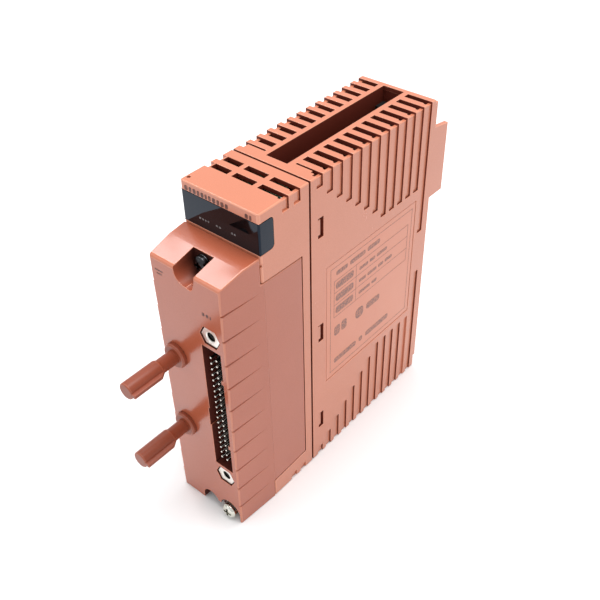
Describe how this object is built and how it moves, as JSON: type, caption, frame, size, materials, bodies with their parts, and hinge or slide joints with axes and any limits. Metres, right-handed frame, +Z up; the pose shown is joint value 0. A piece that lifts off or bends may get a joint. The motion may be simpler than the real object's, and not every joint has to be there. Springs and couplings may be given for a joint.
{
  "type": "rack input output module",
  "caption": "Slim upright rack module: vented case, C-shaped front cover with a dark indicator window, and a plug-on adapter with a pin header, retaining knobs and screws.",
  "frame": {"origin": "on the floor under the middle of the bounding box", "axes": "+Z up, +Y towards the rear, where the backplane connector is, +X towards the side with the name plate"},
  "size_m": [0.0328, 0.1434, 0.13],
  "materials": {
    "case_plastic": "fine-textured moulded terracotta plastic",
    "adapter_plastic": "fine-textured moulded terracotta plastic, a little pinker",
    "knob_plastic": "darker terracotta moulded plastic",
    "smoked_window": "polished smoked plastic",
    "black_plastic": "satin black moulded plastic",
    "white_sheet": "satin film",
    "lamp_plastic": "clear tinted lens",
    "circuit_board": "green solder mask over glass-fibre board",
    "label_film": "satin printed film in the case colour",
    "bright_metal": "nickel-plated, polished",
    "dark_metal": "black zinc plating",
    "brass": "machined",
    "gold_plating": "thin gold plating",
    "ferrite": "ground ferrite",
    "winding_tape": "yellow polyester tape over the winding",
    "capacitor_sleeve": "shrink sleeve"
  },
  "bodies": {
    "module": {"rear_case": "case_plastic", "name_plate": "label_film", "front_cover": "case_plastic", "indicator_window": "smoked_window", "light_shield": "black_plastic", "indicator_board": "circuit_board", "status_lamp_1": "lamp_plastic", "status_lamp_2": "lamp_plastic", "status_lamp_3": "lamp_plastic", "indicator_link_header": "black_plastic", "threaded_insert_upper": "brass", "threaded_insert_lower": "brass", "main_board": "circuit_board", "board_screw_1": "bright_metal", "board_screw_2": "bright_metal", "board_screw_3": "bright_metal", "board_screw_4": "bright_metal", "insulation_sheet": "white_sheet", "main_link_socket": "black_plastic", "transformer_core": "ferrite", "transformer_winding": "winding_tape", "storage_capacitor_1": "capacitor_sleeve", "storage_capacitor_2": "capacitor_sleeve", "storage_capacitor_3": "capacitor_sleeve", "processor_chip": "black_plastic", "converter_chip": "black_plastic", "isolator_1": "black_plastic", "isolator_2": "black_plastic", "isolator_3": "black_plastic", "isolator_4": "black_plastic", "backplane_connector_body": "black_plastic", "backplane_contacts_left": "gold_plating", "backplane_contacts_right": "gold_plating"},
    "adapter": {"adapter_housing": "adapter_plastic", "adapter_back_cover": "black_plastic", "adapter_board": "circuit_board", "adapter_link_plug": "black_plastic", "signal_header_body": "black_plastic", "signal_pins_left_row": "gold_plating", "signal_pins_right_row": "gold_plating", "jack_socket_upper": "bright_metal", "jack_socket_lower": "bright_metal", "jack_nut_upper": "bright_metal", "jack_nut_lower": "bright_metal"},
    "knob_upper": {"retaining_knob_upper": "knob_plastic", "knob_clip_upper": "bright_metal"},
    "knob_lower": {"retaining_knob_lower": "knob_plastic", "knob_clip_lower": "bright_metal"},
    "upper_washer": {"adapter_washer_upper": "dark_metal"},
    "upper_screw": {"adapter_screw_upper": "dark_metal"},
    "lower_washer": {"adapter_washer_lower": "dark_metal"},
    "lower_screw": {"adapter_screw_lower": "dark_metal"},
    "fixing_washer_body": {"fixing_washer": "bright_metal"},
    "fixing_screw_body": {"fixing_screw": "bright_metal"}
  },
  "joints": [
    {"name": "adapter_slide", "type": "slide", "parent": "module", "child": "adapter", "axis": [0, -1, 0], "range_m": [0, 0.03]},
    {"name": "knob_upper_turn", "type": "hinge", "parent": "adapter", "child": "knob_upper", "pos_m": [-0.0083, -0.049, 0.0731], "axis": [0, -1, 0], "range_deg": [0, 90]},
    {"name": "knob_lower_turn", "type": "hinge", "parent": "adapter", "child": "knob_lower", "pos_m": [-0.0083, -0.049, 0.0395], "axis": [0, -1, 0], "range_deg": [0, 90]},
    {"name": "upper_screw_rise", "type": "slide", "parent": "adapter", "child": "upper_washer", "axis": [0, -1, 0], "range_m": [0, 0.004]},
    {"name": "upper_screw_turn", "type": "hinge", "parent": "upper_washer", "child": "upper_screw", "pos_m": [0, -0.04065, 0.1103], "axis": [0, -1, 0], "range_deg": [0, 2881]},
    {"name": "lower_screw_rise", "type": "slide", "parent": "adapter", "child": "lower_washer", "axis": [0, -1, 0], "range_m": [0, 0.004]},
    {"name": "lower_screw_turn", "type": "hinge", "parent": "lower_washer", "child": "lower_screw", "pos_m": [-0.0004, -0.04065, 0.0033], "axis": [0, -1, 0], "range_deg": [0, 2881]},
    {"name": "fixing_screw_rise", "type": "slide", "parent": "adapter", "child": "fixing_washer_body", "axis": [0, -1, 0], "range_m": [0, 0.0049]},
    {"name": "fixing_screw_turn", "type": "hinge", "parent": "fixing_washer_body", "child": "fixing_screw_body", "pos_m": [0.0095, -0.0487, 0.0035], "axis": [0, -1, 0], "range_deg": [0, 2521]}
  ],
  "couplings": [
    {"joint": "upper_screw_turn", "follows": "upper_screw_rise", "rad_per_m": 12566},
    {"joint": "lower_screw_turn", "follows": "lower_screw_rise", "rad_per_m": 12566},
    {"joint": "fixing_screw_turn", "follows": "fixing_screw_rise", "rad_per_m": 8976}
  ]
}
